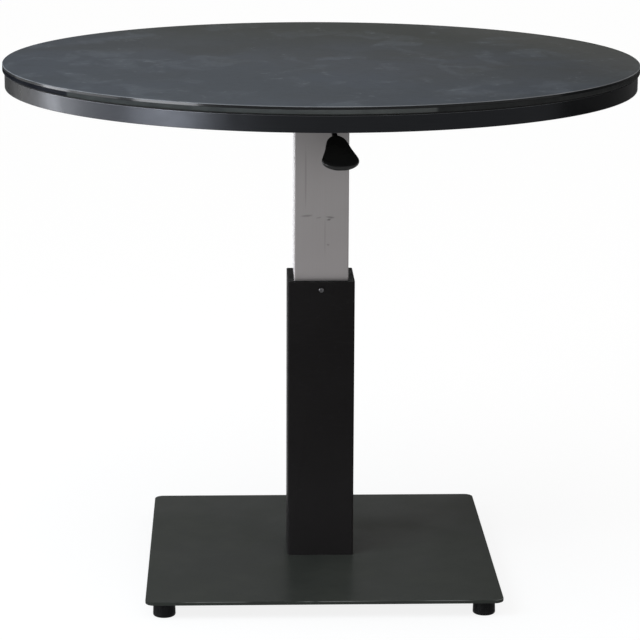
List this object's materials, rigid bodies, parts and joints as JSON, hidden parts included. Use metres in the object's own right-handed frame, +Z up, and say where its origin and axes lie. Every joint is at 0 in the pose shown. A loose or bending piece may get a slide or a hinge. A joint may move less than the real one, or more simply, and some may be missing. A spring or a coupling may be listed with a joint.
{
  "type": "telescoping pedestal table",
  "caption": "Round ceramic-topped table on a square telescoping gas lift column with a release paddle, a square steel base plate and levelling feet.",
  "frame": {"origin": "on the floor, under the middle of the column", "axes": "+Z up along the column, -Y towards the release paddle, X along the front edge of the base plate"},
  "size_m": [0.8999, 0.9, 0.75],
  "materials": {
    "base_plate_paint": "dark grey fine-texture powder coat, satin",
    "column_paint": "black fine-texture powder coat",
    "silver_tube": "matte drawn aluminium with light scuffs",
    "raw_steel": "machined steel, lightly oiled",
    "zinc_steel": "zinc plated",
    "black_screw": "black oxide, slightly shiny",
    "black_plastic": "moulded, matte",
    "foot_plastic": "moulded, matte",
    "paddle_plastic": "moulded, fine texture",
    "spring_paint": "gloss black paint",
    "chrome_rod": "hard chrome",
    "aluminium_rivet": "plain",
    "insert_brass": "plain",
    "board_black": "fibreboard with a black laminate",
    "band_metal": "dark anodised, satin, brushed along its length",
    "silicone": "soft, matte",
    "bead_silicone": "black sealing silicone, tooled smooth",
    "glass_dark": "tempered, black backed, ground edge",
    "ceramic_slate": "sintered slate-look, matte",
    "lever_steel": "black oxide rod"
  },
  "bodies": {
    "base": {"base_plate": "base_plate_paint", "outer_tube": "column_paint", "column_foot_plate": "raw_steel", "column_bolts": "zinc_steel", "column_washers": "zinc_steel", "spring_bolt": "zinc_steel", "foot_nuts": "zinc_steel", "guide_collar": "black_plastic", "collar_screws": "black_screw", "gas_spring_cylinder": "spring_paint", "gas_spring_gland": "black_plastic"},
    "upper": {"inner_tube": "silver_tube", "lower_glide": "black_plastic", "glide_rivets": "aluminium_rivet", "head_spigot": "column_paint", "spigot_screws": "black_screw", "head_plate": "column_paint", "head_plate_screws": "black_screw", "board_inserts": "insert_brass", "board": "board_black", "edge_band": "band_metal", "silicone_pads": "silicone", "silicone_bead": "bead_silicone", "glass": "glass_dark", "ceramic_top": "ceramic_slate", "lever_bracket": "column_paint", "lever_pin": "zinc_steel", "lever_clip": "zinc_steel", "gas_spring_rod": "chrome_rod", "gas_spring_piston": "raw_steel", "rod_nut": "zinc_steel"},
    "lever": {"lever_arm": "lever_steel", "lever_paddle": "paddle_plastic"},
    "release_pin": {"release_pin": "zinc_steel"},
    "foot_1": {"foot_pad_1": "foot_plastic"},
    "foot_stud_1": {"foot_stud_1": "zinc_steel"},
    "foot_2": {"foot_pad_2": "foot_plastic"},
    "foot_stud_2": {"foot_stud_2": "zinc_steel"},
    "foot_3": {"foot_pad_3": "foot_plastic"},
    "foot_stud_3": {"foot_stud_3": "zinc_steel"},
    "foot_4": {"foot_pad_4": "foot_plastic"},
    "foot_stud_4": {"foot_stud_4": "zinc_steel"}
  },
  "joints": [
    {"name": "column_lift", "type": "slide", "parent": "base", "child": "upper", "axis": [0, 0, 1], "range_m": [-0.25, 0]},
    {"name": "release_lever", "type": "hinge", "parent": "upper", "child": "lever", "pos_m": [0.0025, -0.01783, 0.698], "axis": [-0.9903, -0.1392, 0], "range_deg": [0, 8], "stiffness_Nm_per_rad": 5, "springref_deg": -5.73},
    {"name": "release_pin_press", "type": "slide", "parent": "upper", "child": "release_pin", "axis": [0, 0, 1], "range_m": [-0.003, 0]},
    {"name": "foot_1_level", "type": "slide", "parent": "base", "child": "foot_1", "axis": [0, 0, 1], "range_m": [-0.005, 0]},
    {"name": "foot_1_turn", "type": "hinge", "parent": "foot_1", "child": "foot_stud_1", "pos_m": [-0.224, -0.224, 0], "axis": [0, 0, 1], "range_deg": [-1440, 0]},
    {"name": "foot_2_level", "type": "slide", "parent": "base", "child": "foot_2", "axis": [0, 0, 1], "range_m": [-0.005, 0]},
    {"name": "foot_2_turn", "type": "hinge", "parent": "foot_2", "child": "foot_stud_2", "pos_m": [-0.224, 0.224, 0], "axis": [0, 0, 1], "range_deg": [-1440, 0]},
    {"name": "foot_3_level", "type": "slide", "parent": "base", "child": "foot_3", "axis": [0, 0, 1], "range_m": [-0.005, 0]},
    {"name": "foot_3_turn", "type": "hinge", "parent": "foot_3", "child": "foot_stud_3", "pos_m": [0.224, -0.224, 0], "axis": [0, 0, 1], "range_deg": [-1440, 0]},
    {"name": "foot_4_level", "type": "slide", "parent": "base", "child": "foot_4", "axis": [0, 0, 1], "range_m": [-0.005, 0]},
    {"name": "foot_4_turn", "type": "hinge", "parent": "foot_4", "child": "foot_stud_4", "pos_m": [0.224, 0.224, 0], "axis": [0, 0, 1], "range_deg": [-1440, 0]}
  ],
  "couplings": [
    {"joint": "release_pin_press", "follows": "release_lever", "m_per_rad": -0.0195},
    {"joint": "foot_1_turn", "follows": "foot_1_level", "rad_per_m": 5026.5},
    {"joint": "foot_2_turn", "follows": "foot_2_level", "rad_per_m": 5026.5},
    {"joint": "foot_3_turn", "follows": "foot_3_level", "rad_per_m": 5026.5},
    {"joint": "foot_4_turn", "follows": "foot_4_level", "rad_per_m": 5026.5}
  ]
}
